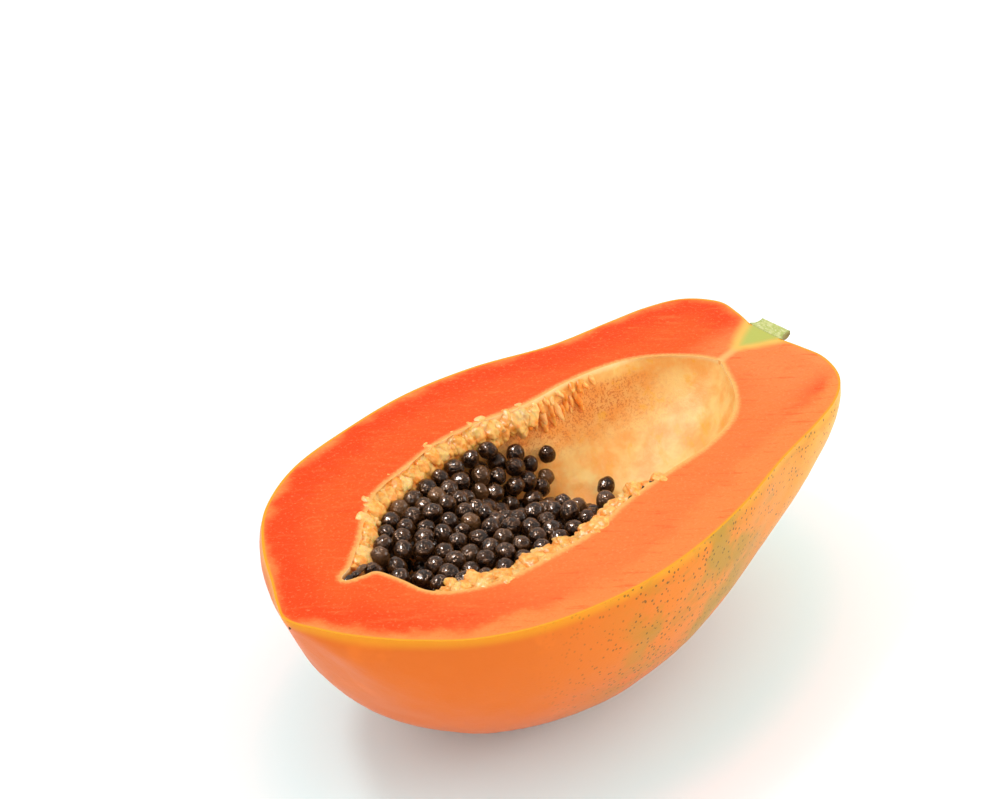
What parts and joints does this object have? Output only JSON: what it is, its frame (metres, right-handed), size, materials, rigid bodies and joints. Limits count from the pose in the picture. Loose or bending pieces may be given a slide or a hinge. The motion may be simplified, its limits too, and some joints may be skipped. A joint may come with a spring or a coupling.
{
  "type": "half papaya",
  "caption": "Ripe papaya cut lengthwise, cut face up: one half with its stem stub, open seed cavity and loose black seeds, resting on its belly.",
  "frame": {"origin": "centre of the half's box, on the surface that it rests on", "axes": "+X from the blossom tip to the stem, +Z out of the cut face"},
  "size_m": [0.2084, 0.1186, 0.0726],
  "materials": {
    "fruit": "moist orange-red flesh with a satin yellow-orange skin",
    "stem": "dull green-brown bark with a pale sawn face",
    "seed": "wet black-brown seed skin"
  },
  "bodies": {
    "root": {"papaya_half": "fruit", "stem_stub": "stem", "seed_heap": "seed", "seed_01": "seed", "seed_02": "seed", "seed_03": "seed", "seed_04": "seed", "seed_05": "seed", "seed_06": "seed", "seed_07": "seed", "seed_08": "seed", "seed_09": "seed", "seed_10": "seed", "seed_11": "seed", "seed_12": "seed", "seed_13": "seed", "seed_14": "seed", "seed_15": "seed", "seed_16": "seed", "seed_17": "seed", "seed_18": "seed", "seed_19": "seed", "seed_20": "seed", "seed_21": "seed", "seed_22": "seed", "seed_23": "seed", "seed_24": "seed", "seed_25": "seed", "seed_26": "seed", "seed_27": "seed", "seed_28": "seed", "seed_29": "seed", "seed_30": "seed", "seed_31": "seed", "seed_32": "seed", "seed_33": "seed", "seed_34": "seed", "seed_35": "seed", "seed_36": "seed", "seed_37": "seed", "seed_38": "seed", "seed_39": "seed", "seed_40": "seed", "seed_41": "seed", "seed_42": "seed", "seed_43": "seed", "seed_44": "seed", "seed_45": "seed", "seed_46": "seed", "seed_47": "seed", "seed_48": "seed", "seed_49": "seed", "seed_50": "seed", "seed_51": "seed", "seed_52": "seed", "seed_53": "seed", "seed_54": "seed"}
  },
  "joints": []
}
